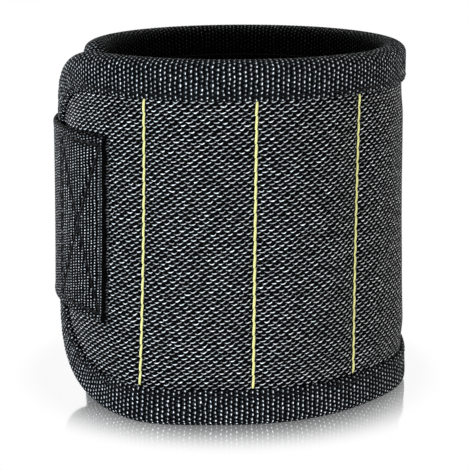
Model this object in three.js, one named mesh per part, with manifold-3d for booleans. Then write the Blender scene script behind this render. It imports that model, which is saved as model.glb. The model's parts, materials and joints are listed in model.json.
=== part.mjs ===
// A magnetic wristband, closed into a loop and standing on its lower edge.
// The band is quilted from a woven shell and a padded lining, with magnets sewn into its pockets.
// Its edges are bound with folded tape. The outer end laps over the inner end, and a hook-and-loop
// strap holds the two together. The band bends at its seams, so each panel is a link of a chain.
// Millimetres, +Z up, the front of the band faces -Y. Angles are in degrees about the upright axis.

import * as THREE from 'three';
import { mergeVertices } from 'three/addons/utils/BufferGeometryUtils.js';
import Module from 'manifold-3d';

const { smoothstep, degToRad, radToDeg, lerp } = THREE.MathUtils;

// The loop in plan.
const BAND_HEIGHT = 90;
const LOOP_RADIUS = 43;
const OUTER_END = 181;
const FIRST_SEAM = 242;
const POCKET_SPAN = 35.3;
const MIDDLE_SPAN = 43.5;
const INNER_END = 560;
const LAP_START = 405;
const LAP_END = 541;

// The layers, as distances from the middle of the band's thickness.
const CLEARANCE = 0.3;
const PANEL_HALF = 2.4;
const SHELL_THICKNESS = 0.8;
const CROWN = 0.5;
const STRAP_BED_CROWN = 0.9;
const LINING_CROWN = 0.4;
const CROWN_RUN = 9;
const SEAM_GAP = 0.6;

// How finely the curves are stepped, in degrees.
const PANEL_STEP = 3.2;
const TAPE_STEP = 3.9;
const CORNER_STEP = 9;

// The folded tape round the edges.
const BINDING_WIDTH = 9.5;
const BINDING_WALL = 0.65;
const BINDING_ROUND = 1.4;
const UPPER_CORNER = 30;
const LOWER_CORNER = 38;
const INNER_CORNER = 14;

// Magnets, in rows up each pocket.
const MAGNET_RADIUS = 8;
const MAGNET_THICKNESS = 1.6;
const MAGNET_ROWS = 3;
const MAGNET_PITCH = 22;
const MAGNET_FACE = 0.5;

// Stitched seams.
const THREAD_WIDTH = 1;
const THREAD_DEPTH = 0.5;

// The closing strap.
const STRAP_WIDTH = 47;
const STRAP_RISE = 2;
const STRAP_THICKNESS = 0.9;
const STRAP_START = 228.7;
const STRAP_BEND = 179.5;
const STRAP_LANDING = 150;
const STRAP_FOLD = 140;
const STRAP_TIP = 96;
const TIP_CORNER = 10;
const HOOK_THICKNESS = 0.8;
const HOOK_MARGIN = 2;
const LOOP_PILE = 0.65;
const LOOP_WIDTH = 60;
const LOOP_MARGIN = 4;

// Sizes that follow from the ones above.
const HALF_HEIGHT = BAND_HEIGHT / 2;
const BINDING_INSIDE = PANEL_HALF + CLEARANCE;
const BINDING_FACE = BINDING_INSIDE + BINDING_WALL;
const LAP_STEP = 2 * BINDING_FACE + CLEARANCE;
const PANEL_EDGE = BINDING_WALL + CLEARANCE;
const SHELL_BACK = PANEL_HALF - SHELL_THICKNESS;
const LINING_BACK = SHELL_BACK - CLEARANCE;
const POCKET_SPANS = [POCKET_SPAN, POCKET_SPAN, MIDDLE_SPAN, POCKET_SPAN, POCKET_SPAN];
const SEAMS = POCKET_SPANS.reduce((seams, turn) => [...seams, seams.at(-1) + turn], [FIRST_SEAM]);
const LAST_SEAM = SEAMS.at(-1);
const TAIL_FOLD = (LAST_SEAM + INNER_END) / 2;
const LOOP_BED = PANEL_HALF + CLEARANCE;
const LOOP_FACE = LOOP_BED + LOOP_PILE;
const HOOK_BED = LOOP_FACE + CLEARANCE;
const STRAP_OVER_HOOK = HOOK_BED + HOOK_THICKNESS + CLEARANCE;
const STRAP_OVER_PANEL = BINDING_FACE + CLEARANCE;
const STRAP_MIDDLE = HALF_HEIGHT + STRAP_RISE;

const wasm = await Module();
wasm.setup();

const cloth = (color, roughness) => new THREE.MeshStandardMaterial({ color, roughness, metalness: 0 });
const NYLON = cloth(0x1d2026, 0.75);
const TAPE = cloth(0x17181c, 0.85);
const MESH = cloth(0x202126, 0.95);
const WEBBING = cloth(0x191b20, 0.8);
const PILE = cloth(0x141417, 1);
const THREAD = cloth(0xe3cf5c, 0.6);
const MAGNET = new THREE.MeshStandardMaterial({ color: 0xb9bcc2, roughness: 0.3, metalness: 1 });

const band = new THREE.Group();

function addPiece(name, geometry, material) {
  const mesh = new THREE.Mesh(geometry, material);
  mesh.name = name;
  band.add(mesh);
}

// The middle line of the band: round, then drawn in where the inner end passes under the outer one.
function loopRadius(angle) {
  return LOOP_RADIUS - LAP_STEP * smoothstep(angle, LAP_START, LAP_END);
}

function polar(radius, angle, height) {
  const turn = degToRad(angle);
  return new THREE.Vector3(radius * Math.cos(turn), radius * Math.sin(turn), height);
}

function onBand(angle, offset, height) {
  return polar(loopRadius(angle) + offset, angle, height);
}

// The turn about the upright axis that a length along the band takes.
function span(length, radius = LOOP_RADIUS) {
  return radToDeg(length / radius);
}

function steps(start, end, size) {
  const count = Math.max(1, Math.ceil(Math.abs(end - start) / size));
  return Array.from({ length: count + 1 }, (_, i) => lerp(start, end, i / count));
}

// A closed solid through a row of sections, each an outline that runs counterclockwise.
function loft(sections) {
  const count = sections[0].outline.length;
  const last = (sections.length - 1) * count;
  const points = sections.flatMap(({ outline, place }) => outline.map((p) => place(p.x, p.y)));
  const index = [];
  for (let row = 0; row < last; row += count) {
    for (let j = 0; j < count; j += 1) {
      const a = row + j;
      const b = row + (j + 1) % count;
      index.push(a, b, a + count, b, b + count, a + count);
    }
  }
  for (const [a, b, c] of THREE.ShapeUtils.triangulateShape(sections[0].outline, [])) {
    index.push(a, c, b);
  }
  for (const [a, b, c] of THREE.ShapeUtils.triangulateShape(sections.at(-1).outline, [])) {
    index.push(last + a, last + b, last + c);
  }
  return faceOut(new THREE.BufferGeometry().setFromPoints(points).setIndex(index));
}

// Turns a closed surface so that its faces look outwards.
function faceOut(geometry) {
  const at = geometry.attributes.position;
  const index = geometry.index.array;
  const [a, b, c] = [0, 1, 2].map(() => new THREE.Vector3());
  let volume = 0;
  for (let i = 0; i < index.length; i += 3) {
    a.fromBufferAttribute(at, index[i]);
    b.fromBufferAttribute(at, index[i + 1]);
    c.fromBufferAttribute(at, index[i + 2]);
    volume += a.dot(b.cross(c));
  }
  if (volume < 0) index.reverse();
  geometry.computeVertexNormals();
  return geometry;
}

function toSolid(geometry) {
  const bare = geometry.clone().deleteAttribute('normal').deleteAttribute('uv');
  const joined = mergeVertices(bare, 1e-4);
  const vertProperties = new Float32Array(joined.attributes.position.array);
  const triVerts = new Uint32Array(joined.index.array);
  return new wasm.Manifold(new wasm.Mesh({ numProp: 3, vertProperties, triVerts }));
}

function fromSolid(solid) {
  const { vertProperties, triVerts } = solid.getMesh();
  const geometry = new THREE.BufferGeometry();
  geometry.setAttribute('position', new THREE.BufferAttribute(vertProperties, 3));
  geometry.setIndex(new THREE.BufferAttribute(triVerts, 1));
  geometry.computeVertexNormals();
  return geometry;
}

// Depth of a point inside a panel's outline, whose free end has a rounded upper and lower corner.
function depthInside(length, height, corners) {
  const corner = height > 0 ? corners.upper : corners.lower;
  const along = corner - length;
  const across = Math.abs(height) - (HALF_HEIGHT - corner);
  if (along > 0 && across > 0) return corner - Math.hypot(along, across);
  return corner - Math.max(along, across);
}

// Half the height of that outline, drawn in by an inset, at a length from the free end.
function halfHeight(length, corner, inset) {
  const round = corner - inset;
  const left = Math.max(0, round - (length - inset));
  return HALF_HEIGHT - corner + Math.sqrt(Math.max(0, round * round - left * left));
}

// Lengths from a free end that follow its rounded corner evenly.
function cornerLengths(corner, inset) {
  const turns = steps(0, 90, CORNER_STEP);
  return turns.map((turn) => inset + (corner - inset) * (1 - Math.cos(degToRad(turn))));
}

function evenCorners(corner) {
  return { upper: corner, lower: corner };
}

// The shell and the padded lining of one panel. A panel is sewn in at both sides, or has one free
// end with rounded corners. Its crown falls away at the tape and at the seams.
function panelLayers({ from, to, crown, end = Infinity, corners = evenCorners(BINDING_WIDTH) }) {
  const radius = loopRadius(Number.isFinite(end) ? end : from);
  const first = from + span(end === from ? PANEL_EDGE : SEAM_GAP / 2, radius);
  const last = to - span(end === to ? PANEL_EDGE : SEAM_GAP / 2, radius);
  const seamBefore = end === from ? -Infinity : from;
  const seamAfter = end === to ? Infinity : to;
  const lengthAt = (angle) => degToRad(Math.abs(angle - end)) * radius;

  const broad = Math.max(corners.upper, corners.lower);
  const rounded = cornerLengths(broad, PANEL_EDGE).map((length) => span(length, radius));
  let angles = steps(first, last, PANEL_STEP);
  if (end === from) {
    const bent = rounded.map((turn) => from + turn);
    angles = [...bent, ...steps(bent.at(-1), last, PANEL_STEP).slice(1)];
  }
  if (end === to) {
    const bent = rounded.map((turn) => to - turn).toReversed();
    angles = [...steps(first, bent[0], PANEL_STEP).slice(0, -1), ...bent];
  }

  const swell = (angle, height) => {
    const toSeam = degToRad(Math.min(angle - seamBefore, seamAfter - angle)) * radius;
    const toTape = depthInside(lengthAt(angle), height, corners) - BINDING_WIDTH;
    return smoothstep(toTape, 0, CROWN_RUN) * smoothstep(toSeam, 0, CROWN_RUN);
  };
  const layer = (back, face) => loft(angles.map((angle) => {
    const upper = halfHeight(lengthAt(angle), corners.upper, PANEL_EDGE);
    const lower = halfHeight(lengthAt(angle), corners.lower, PANEL_EDGE);
    const rise = steps(-1, 1, 1 / 6).map((part) => (part > 0 ? upper : lower) * Math.sin(part * Math.PI / 2));
    const heights = face(0) > back ? rise : rise.toReversed();
    const outline = [
      new THREE.Vector2(back, heights.at(-1)),
      new THREE.Vector2(back, heights[0]),
      ...heights.map((height) => new THREE.Vector2(face(swell(angle, height)), height)),
    ];
    return { outline, place: (offset, height) => onBand(angle, offset, HALF_HEIGHT + height) };
  }));
  return {
    shell: layer(SHELL_BACK, (swelling) => PANEL_HALF + crown * swelling),
    lining: layer(LINING_BACK, (swelling) => -PANEL_HALF - LINING_CROWN * swelling),
  };
}

// The tape's folded section: an outer leg, a rounded fold and an inner leg. The fold is flat where
// the band stands. x runs across the band's thickness, y is the depth in from the band's edge.
function tapeSection() {
  const arc = (side) => [0, 30, 60, 90].map((turn) => {
    const swing = degToRad(turn);
    const across = BINDING_FACE - BINDING_ROUND * (1 - Math.cos(swing));
    return new THREE.Vector2(side * across, BINDING_ROUND * (1 - Math.sin(swing)));
  });
  return [
    new THREE.Vector2(BINDING_FACE, BINDING_WIDTH),
    new THREE.Vector2(BINDING_INSIDE, BINDING_WIDTH),
    new THREE.Vector2(BINDING_INSIDE, BINDING_WALL),
    new THREE.Vector2(-BINDING_INSIDE, BINDING_WALL),
    new THREE.Vector2(-BINDING_INSIDE, BINDING_WIDTH),
    new THREE.Vector2(-BINDING_FACE, BINDING_WIDTH),
    ...arc(-1),
    ...arc(1).toReversed(),
  ];
}

// Tape along a straight edge between two seams.
function straightTape(from, to, side) {
  const gap = span(SEAM_GAP / 2);
  const outline = tapeSection();
  return loft(steps(from + gap, to - gap, TAPE_STEP).map((angle) => ({
    outline,
    place: (offset, depth) => onBand(angle, offset, HALF_HEIGHT + side * (HALF_HEIGHT - depth)),
  })));
}

// Tape that runs along one edge, round both corners of a free end and back along the other edge.
function endTape(seam, end, corners) {
  const inward = Math.sign(seam - end);
  const radius = loopRadius(end);
  const reach = degToRad(Math.abs(seam - end)) * radius - SEAM_GAP / 2;
  const path = new THREE.CurvePath();
  const top = HALF_HEIGHT;
  const { upper, lower } = corners;
  path.add(new THREE.LineCurve(new THREE.Vector2(reach, top), new THREE.Vector2(upper, top)));
  path.add(new THREE.EllipseCurve(upper, top - upper, upper, upper, Math.PI / 2, Math.PI, false));
  path.add(new THREE.LineCurve(new THREE.Vector2(0, top - upper), new THREE.Vector2(0, lower - top)));
  path.add(new THREE.EllipseCurve(lower, lower - top, lower, lower, Math.PI, 1.5 * Math.PI, false));
  path.add(new THREE.LineCurve(new THREE.Vector2(lower, -top), new THREE.Vector2(reach, -top)));
  const outline = tapeSection();
  const sections = [];
  path.curves.forEach((curve, i) => {
    const count = Math.ceil(span(curve.getLength(), radius) / (1.5 * TAPE_STEP));
    for (let k = i === 0 ? 0 : 1; k <= count; k += 1) {
      const at = curve.getPoint(k / count);
      const along = curve.getTangent(k / count);
      const inside = new THREE.Vector2(-along.y, along.x);
      sections.push({
        outline,
        place: (offset, depth) => {
          const length = at.x + inside.x * depth;
          const angle = end + inward * span(length, radius);
          return onBand(angle, offset, HALF_HEIGHT + at.y + inside.y * depth);
        },
      });
    }
  });
  return loft(sections);
}

// A flat strip laid round the band, between two distances from the upright axis.
function strip(angles, inner, thickness, middle, halfWidthAt) {
  return loft(angles.map((angle) => {
    const half = halfWidthAt(angle);
    const outline = [
      new THREE.Vector2(0, -half),
      new THREE.Vector2(thickness, -half),
      new THREE.Vector2(thickness, half),
      new THREE.Vector2(0, half),
    ];
    return { outline, place: (offset, height) => polar(inner(angle) + offset, angle, middle + height) };
  }));
}

function magnetDisc(radius, thickness, face, angle, row) {
  const height = HALF_HEIGHT + (row - (MAGNET_ROWS - 1) / 2) * MAGNET_PITCH;
  const disc = new THREE.CylinderGeometry(radius, radius, thickness, 24);
  disc.rotateZ(Math.PI / 2);
  disc.translate(LOOP_RADIUS + face - thickness / 2, 0, height);
  return disc.rotateZ(degToRad(angle));
}

// The outer end, with a broad rounded outline that is fuller below.
const outerCorners = { upper: UPPER_CORNER, lower: LOWER_CORNER };
const outerEnd = panelLayers({
  from: OUTER_END,
  to: FIRST_SEAM,
  crown: STRAP_BED_CROWN,
  end: OUTER_END,
  corners: outerCorners,
});
addPiece('outer_end_shell', outerEnd.shell, NYLON);
addPiece('outer_end_lining', outerEnd.lining, MESH);
addPiece('outer_end_binding', endTape(FIRST_SEAM, OUTER_END, outerCorners), TAPE);

// The magnet pockets, each with recesses in its lining. The middle one is the widest.
for (let pocket = 1; pocket < SEAMS.length; pocket += 1) {
  const from = SEAMS[pocket - 1];
  const to = SEAMS[pocket];
  const middle = (from + to) / 2;
  const inset = loopRadius(middle) - LOOP_RADIUS;
  const layers = panelLayers({ from, to, crown: CROWN });
  let lining = toSolid(layers.lining);
  for (let row = 0; row < MAGNET_ROWS; row += 1) {
    const face = MAGNET_FACE + inset;
    const depth = MAGNET_THICKNESS + CLEARANCE + BINDING_FACE - MAGNET_FACE;
    const recess = magnetDisc(MAGNET_RADIUS + CLEARANCE, depth, BINDING_FACE + inset, middle, row);
    lining = lining.subtract(toSolid(recess));
    const disc = magnetDisc(MAGNET_RADIUS, MAGNET_THICKNESS, face, middle, row);
    addPiece(`magnet_${pocket}_${row + 1}`, disc, MAGNET);
  }
  addPiece(`pocket_${pocket}_shell`, layers.shell, NYLON);
  addPiece(`pocket_${pocket}_lining`, fromSolid(lining), MESH);
  addPiece(`pocket_${pocket}_binding_top`, straightTape(from, to, 1), TAPE);
  addPiece(`pocket_${pocket}_binding_bottom`, straightTape(from, to, -1), TAPE);
}

// The tail behind the pockets, and the inner end that passes under the outer one.
const tail = panelLayers({ from: LAST_SEAM, to: TAIL_FOLD, crown: 0 });
addPiece('tail_shell', tail.shell, NYLON);
addPiece('tail_lining', tail.lining, MESH);
addPiece('tail_binding_top', straightTape(LAST_SEAM, TAIL_FOLD, 1), TAPE);
addPiece('tail_binding_bottom', straightTape(LAST_SEAM, TAIL_FOLD, -1), TAPE);
const innerEnd = panelLayers({
  from: TAIL_FOLD,
  to: INNER_END,
  crown: 0,
  end: INNER_END,
  corners: evenCorners(INNER_CORNER),
});
addPiece('inner_end_shell', innerEnd.shell, NYLON);
addPiece('inner_end_lining', innerEnd.lining, MESH);
addPiece('inner_end_binding', endTape(TAIL_FOLD, INNER_END, evenCorners(INNER_CORNER)), TAPE);

// Loop pile on the outside of the tail, in one patch per panel.
const loopInner = (angle) => loopRadius(angle) + LOOP_BED;
const loopHalf = () => LOOP_WIDTH / 2;
const loopLap = span(SEAM_GAP / 2);
const tailLoop = steps(LAST_SEAM + span(LOOP_MARGIN), TAIL_FOLD - loopLap, PANEL_STEP);
const innerLoop = steps(TAIL_FOLD + loopLap, INNER_END - span(BINDING_WIDTH + LOOP_MARGIN), PANEL_STEP);
addPiece('tail_loop', strip(tailLoop, loopInner, LOOP_PILE, HALF_HEIGHT, loopHalf), PILE);
addPiece('inner_end_loop', strip(innerLoop, loopInner, LOOP_PILE, HALF_HEIGHT, loopHalf), PILE);

// Bright thread along each seam, in the valley between two pockets.
SEAMS.forEach((angle, seam) => {
  const half = HALF_HEIGHT - BINDING_WIDTH - CLEARANCE;
  const lay = steps(angle - span(THREAD_WIDTH / 2), angle + span(THREAD_WIDTH / 2), span(THREAD_WIDTH / 2));
  const bed = (turn) => loopRadius(turn) + PANEL_HALF + CLEARANCE;
  addPiece(`seam_thread_${seam + 1}`, strip(lay, bed, THREAD_DEPTH, HALF_HEIGHT, () => half), THREAD);
});

// The strap: sewn down on the outer end, bridging the step at its edge, then lying on the loop pile.
function strapInner(angle) {
  const landed = smoothstep(STRAP_BEND - angle, 0, STRAP_BEND - STRAP_LANDING);
  return lerp(LOOP_RADIUS + STRAP_OVER_PANEL, loopRadius(angle + 360) + STRAP_OVER_HOOK, landed);
}
const strapHalf = () => STRAP_WIDTH / 2;
const strapGap = span(SEAM_GAP / 2);
const tipHalf = (margin) => (angle) => {
  const length = degToRad(angle - STRAP_TIP) * LOOP_RADIUS;
  return halfHeight(length, TIP_CORNER, margin) - HALF_HEIGHT + STRAP_WIDTH / 2;
};
const tipAngles = (margin) => {
  const rounded = cornerLengths(TIP_CORNER, margin).map((length) => STRAP_TIP + span(length));
  return [...rounded, ...steps(rounded.at(-1), STRAP_FOLD - strapGap, PANEL_STEP).slice(1)];
};
const anchorAngles = steps(STRAP_BEND + strapGap, STRAP_START, PANEL_STEP);
const bridgeAngles = steps(STRAP_FOLD + strapGap, STRAP_BEND - strapGap, PANEL_STEP);
const hookInner = (angle) => loopRadius(angle + 360) + HOOK_BED;
const [anchor, bridge] = [anchorAngles, bridgeAngles].map((angles) =>
  strip(angles, strapInner, STRAP_THICKNESS, STRAP_MIDDLE, strapHalf));
addPiece('strap_anchor', anchor, WEBBING);
addPiece('strap_bridge', bridge, WEBBING);
addPiece('strap_tip', strip(tipAngles(0), strapInner, STRAP_THICKNESS, STRAP_MIDDLE, tipHalf(0)), WEBBING);
const hook = strip(tipAngles(HOOK_MARGIN), hookInner, HOOK_THICKNESS, STRAP_MIDDLE, tipHalf(HOOK_MARGIN));
addPiece('strap_hook', hook, PILE);

// The frame's origin lies under the middle of the closed band.
const box = new THREE.Box3().setFromObject(band);
const middle = box.getCenter(new THREE.Vector3());
band.children.forEach((piece) => piece.geometry.translate(-middle.x, -middle.y, 0));

export default band;
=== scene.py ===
import json
import math

import bmesh
import bpy
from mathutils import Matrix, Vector, noise


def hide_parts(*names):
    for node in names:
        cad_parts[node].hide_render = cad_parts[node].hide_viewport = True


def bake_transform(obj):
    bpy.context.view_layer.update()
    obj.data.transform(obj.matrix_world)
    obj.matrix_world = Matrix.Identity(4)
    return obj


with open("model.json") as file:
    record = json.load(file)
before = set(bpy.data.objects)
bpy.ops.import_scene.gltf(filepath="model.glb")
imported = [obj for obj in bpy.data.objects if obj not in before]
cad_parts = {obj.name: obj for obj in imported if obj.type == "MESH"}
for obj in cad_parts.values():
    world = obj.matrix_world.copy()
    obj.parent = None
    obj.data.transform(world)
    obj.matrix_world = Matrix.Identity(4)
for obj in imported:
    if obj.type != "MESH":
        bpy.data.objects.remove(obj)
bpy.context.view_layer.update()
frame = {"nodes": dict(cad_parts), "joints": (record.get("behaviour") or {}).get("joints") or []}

# A magnetic wristband of woven nylon, bound with folded tape and closed by a strap.
# Sizes are in millimetres and angles in degrees about the upright axis, as the band was cut.
MM = 0.001
FULL_TURN = 360.0
BAND_HEIGHT = 90.0
HALF_HEIGHT = BAND_HEIGHT / 2
LOOP_RADIUS = 43.0
OUTER_END, INNER_END = 181.0, 560.0
UPPER_CORNER, LOWER_CORNER, INNER_CORNER = 27.5, 38.0, 14.0
# Three seams stand on each side of the middle pocket, which is the widest.
FIRST_SEAM, POCKET_SPAN, MIDDLE_SPAN = 242.0, 35.3, 43.5
THIRD_SEAM = FIRST_SEAM + 2 * POCKET_SPAN
FOURTH_SEAM = THIRD_SEAM + MIDDLE_SPAN
SEAMS = [first + POCKET_SPAN * n for first in (FIRST_SEAM, FOURTH_SEAM) for n in range(3)]
TAIL_SEAM = SEAMS[-1]
TAIL_FOLD = (TAIL_SEAM + INNER_END) / 2
# A seam bends this far outside the middle of the band's thickness.
SEAM_HINGE = 3.35
# Between two angles the band steps in, so that its tail lies under the outer end.
LAP_START, LAP_END, LAP_STEP = 405.0, 541.0, 7.0

# The cloth spreads at its foot, draws in above, and leans round a little from foot to brim.
FOOT_SPREAD, WAIST_SPREAD, BRIM_SPREAD, LEAN = 0.9, -0.45, -0.8, 1.43
# Sewing pulls the cloth about in places, each by an amount, at an angle, over a turn. The foot bows out, the
# first seam leans less and the third seam leans more, and the third is also drawn round.
FOOT_BOWS = [(3.2, 243.0, 15.0), (1.2, 338.0, 12.0)]
SEAM_LEANS = [(-1.5, 242.0, 25.0), (1.6, 315.0, 25.0)]
SEAM_DRAWS = [(1.25, 315.0, 25.0)]

# The quilted layers, as distances from the middle of the band's thickness. Both end inside the tape, short
# of the band's edge.
SHELL_FACE, SHELL_BACK = 2.4, 1.65
LINING_FACE, LINING_BACK = 2.4, 1.9
LAYER_INSET = 2.8
# A panel swells to its crown over a run from seam and tape. A seam dips, and puckers at each stitch.
POCKET_CROWN, TAIL_CROWN, LINING_CROWN, CROWN_RUN = 0.9, 0.2, 0.5, 9.0
SEAM_DIP, LINING_DIP, DIP_RUN, DIP_UNDER_TAPE = 0.55, 0.35, 1.2, 1.0
PUCKER, PUCKER_RUN, STITCH_PITCH = 0.16, 2.6, 3.3
# The shell drapes unevenly, with so many waves to a degree round the band and to a millimetre up it. The
# tape holds the cloth flat over a run.
DRAPE, DRAPE_ROUND, DRAPE_UP, DRAPE_SEED = 0.12, 0.11, 0.07, 3.0
TAPE_HOLD = 2.0
# Columns and rows of a panel. Columns stand close at a seam, in degrees off it, and round a corner.
COLUMN_STEP, CORNER_STEP, LEAST_STEP = 1.25, 4, 0.2
SEAM_COLUMNS = (0.0, 0.35, 0.7, 1.1, 1.6, 2.2)
SHELL_ROWS, LINING_ROWS, BACK_ROWS = 40, 20, 16

# The folded tape, its ribs, and the gathers that it makes round a corner.
TAPE_WIDTH, TAPE_FACE = 9.5, 3.4
TAPE_FOLD, FOLD_ROUNDNESS, FOLD_FLAT = 2.6, 0.45, 0.7
TAPE_STITCH, TAPE_STITCH_DIP, TAPE_STITCH_RUN = 8.2, 0.16, 0.6
TAPE_LIP, TAPE_LIP_RUN = 0.42, 0.55
RIB_PITCH, RIB_DEPTH, TAPE_PICK = 1.18, 0.1, 0.555
RIB_STEP = RIB_PITCH / 4
STATIONS_IN_STITCH = 10
GATHER, GATHER_PITCH = 0.22, 5.2
TAPE_WANDER, TAPE_WANDER_WAVES, TAPE_WANDER_RUN, TAPE_WANDER_SEED = 0.12, 0.13, 6, 1.0
# Past this offset a leg of the tape faces straight out of the band.
LEG_OFFSET = 2.0
# Rows on a leg of the tape, as depths, and the corners of its hidden inside, as offsets and depths.
TAPE_DEPTHS = [0.0, 0.08, 0.3, 0.7, 1.3, 2.0, 2.8, 3.8, 4.8, 5.8]
TAPE_DEPTHS += [6.7, 7.4, 7.8, 8.2, 8.6, 9.0, 9.25, 9.42, TAPE_WIDTH]
TAPE_INSIDE = [(2.68, TAPE_WIDTH), (2.68, 3.0), (1.6, 0.95), (-1.6, 0.95), (-2.68, 3.0), (-2.68, TAPE_WIDTH)]

# Stitches. A row of them has their width, rise and lean, and a bed over the cloth. A stitch is flattened,
# and thins to its ends, where it sinks into the cloth.
SEAM_STITCHES = (0.66, 0.22, 0.11)
TAPE_STITCHES = (0.5, 0.18, 0.03)
BOX_STITCHES = (0.55, 0.2, 0.04)
SEAM_STITCH_BED, TAPE_STITCH_BED, BOX_STITCH_BED = 0.12, 0.05, -0.22
SEAM_END_GAP = 0.2
BOX_STITCH_PITCH = 2.9
STITCH_RINGS, STITCH_SIDES = 7, 8
STITCH_END, STITCH_SINK, STITCH_HALF_DEPTH = 0.75, 0.45, 0.38

# The closing strap. It is sewn down, bends over the step of the lap, lands on the hook tape and can be
# peeled from its fold to its tip. The tip has rounded corners, and its cut end is trimmed by an angle.
STRAP_WIDTH, STRAP_MIDDLE, STRAP_THICKNESS = 47.0, 47.0, 0.9
STRAP_OVER_PANEL, STRAP_OVER_HOOK = 3.65, 4.75
STRAP_RADIUS = LOOP_RADIUS + STRAP_OVER_PANEL + STRAP_THICKNESS
STRAP_START, STRAP_SEWN_FROM = 229.6, 190.0
STRAP_BEND, STRAP_BEND_TO, STRAP_LANDING = 179.5, 160.0, 150.0
STRAP_FOLD, PEEL_END, STRAP_TIP = 140.0, 115.0, 96.0
TIP_CORNER, TIP_TRIM = 10.0, 0.15
STRAP_RIB, STRAP_RIB_DEPTH, STRAP_PICK = 1.44, 0.07, 0.36
STRAP_STEP = math.degrees(STRAP_RIB / 4 / STRAP_RADIUS)
# Forms that fade along the cloth have an amount, and the start and the run of the fade.
SELVAGE_WEAR = (0.4, 0.0, 0.6)
SELVAGE_CORD, SELVAGE_CORD_AT, SELVAGE_CORD_RUN = 0.12, 1.1, 0.6
HEM_RISE, HEM_ROLL = (0.35, 1.6, 1.2), (1.1, 0.0, 0.9)
BOX_FROM, BOX_TO, BOX_MARGIN = 202.5, 226.9, 2.3
BOX_DIP, BOX_DIP_RUN = 0.3, 0.7
# Rows of the strap stand close at a selvage, as distances from it.
SELVAGE_ROWS = (0.0, 0.15, 0.35, 0.6, 0.85, 1.1, 1.4, 1.8)
SELVAGE_END = 2.3
SEWN_ROWS, FREE_ROWS, STRAP_BACK_ROWS = 110, 30, 10

# Hook tape, set back from the strap's tip by an angle, and loop pile. Both thin at their edges and ends.
HOOK_BED, HOOK_THICKNESS, HOOK_MARGIN, HOOK_SETBACK = 3.65, 0.8, 2.0, 2
LOOP_BED, LOOP_PILE, LOOP_WIDTH, LOOP_MARGIN = 2.7, 0.65, 60.0, 4.0
PATCH_EDGE, PATCH_EDGE_SHARE, PATCH_END_SHARE = 1.2, 0.45, 0.4
PATCH_STEP, PATCH_ROWS, PATCH_BACK_ROWS = 1.5, 40, 10

# Painted shade on the cloth where it is sunk, from 0 in the open to 1 where it is hidden. It takes the yarn
# to the colour of its gaps, which is black on the shiny yarns.
SEAM_SHADE, SEAM_SHADE_RUN = 0.85, 0.75
TAPE_SHADE = (0.5, 0.1, 0.8)
INSIDE_SHADE, INSIDE_SHADE_START, INSIDE_SHADE_RUN = 0.84, -0.2, 1.2
BOX_SHADE, BOX_SHADE_RUN = 0.95, 0.65
HEM_SHADES = [(0.55, 0.2, 0.5), (0.3, 1.5, 0.7)]
SELVAGE_SHADE = (0.9, 0.2, 0.8)
STRAP_BACK_SHADE = 0.35
OPEN, HIDDEN = 0.0, 1.0

# The band is a chain of panels. Each stretch of cloth runs from the middle of one to the next,
# and bends where the two meet.
LINKS = ["outer_end"] + [f"pocket_{n + 1}" for n in range(len(SEAMS) - 1)] + ["tail", "inner_end"]
LINK_EDGES = [OUTER_END, *SEAMS, TAIL_FOLD, INNER_END]
LINK_MIDDLES = [(a + b) / 2 for a, b in zip(LINK_EDGES, LINK_EDGES[1:])]
STRETCH_EDGES = [OUTER_END, *LINK_MIDDLES[1:-1], INNER_END]
STRETCHES = list(zip(STRETCH_EDGES, STRETCH_EDGES[1:]))
LAST = len(STRETCHES) - 1
# The upper and the lower corner of each end that is rounded.
CORNERS = {0: (UPPER_CORNER, LOWER_CORNER), LAST: (INNER_CORNER, INNER_CORNER)}


# Runs, fades and dips

def ease(t):
    t = min(1.0, max(0.0, t))
    return t * t * (3 - 2 * t)


def fade(distance, amount, start, run):
    """An amount that holds up to the start of a run and is gone at its end."""
    return amount * (1 - ease((distance - start) / run))


def dip(distance, amount, run):
    """An amount that is whole in the middle of a dip and goes softly over a run to each side."""
    return amount * math.exp(-(distance / run) ** 2)


def rib_groove(run, pitch):
    """From 0 on a rib to 1 in the groove beside it."""
    return 0.5 - 0.5 * math.cos(2 * math.pi * run / pitch)


def evenly(start, end, count):
    return [start + (end - start) * n / count for n in range(count + 1)]


def spread(start, end, size):
    return evenly(start, end, max(1, math.ceil(abs(end - start) / size)))


# Places on the band

def loop_radius(angle):
    return LOOP_RADIUS - LAP_STEP * ease((angle - LAP_START) / (LAP_END - LAP_START))


END_RADIUS = loop_radius(INNER_END)


def polar(radius, angle):
    turn = math.radians(angle)
    return Vector((radius * math.cos(turn), radius * math.sin(turn), 0))


def outward(angle):
    return polar(1.0, angle)


# The loop's upright axis, found from the joint at the third seam.
SEAM_JOINT = next(j for j in frame["joints"] if j["name"] == "band_open")
AXIS = Vector(SEAM_JOINT["pos_m"]) / MM - polar(LOOP_RADIUS + SEAM_HINGE, THIRD_SEAM)
AXIS.z = 0


def pulled(places, angle):
    return sum(dip(angle - at, amount, turn) for amount, at, turn in places)


def round_axis(radius, angle, height):
    up = height / BAND_HEIGHT
    draw = FOOT_SPREAD * (1 - up) * (1 - 2 * up) + WAIST_SPREAD * 4 * up * (1 - up)
    draw += BRIM_SPREAD * up * (2 * up - 1)
    draw += (1 - up) ** 2 * pulled(FOOT_BOWS, angle)
    lean = LEAN + pulled(SEAM_LEANS, angle)
    turned = angle + pulled(SEAM_DRAWS, angle) + lean * (up - 0.5)
    return (AXIS + polar(radius + draw, turned) + Vector((0, 0, height))) * MM


def on_band(angle, offset, height):
    return round_axis(loop_radius(angle) + offset, angle, height)


def length_at(angle, stretch):
    """Length along the band, from the outer end, or from the inner end on the last stretch."""
    if stretch == LAST:
        return math.radians(INNER_END - angle) * END_RADIUS
    return math.radians(angle - OUTER_END) * LOOP_RADIUS


def angle_at(length, stretch):
    if stretch == LAST:
        return INNER_END - math.degrees(length / END_RADIUS)
    return OUTER_END + math.degrees(length / LOOP_RADIUS)


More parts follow.
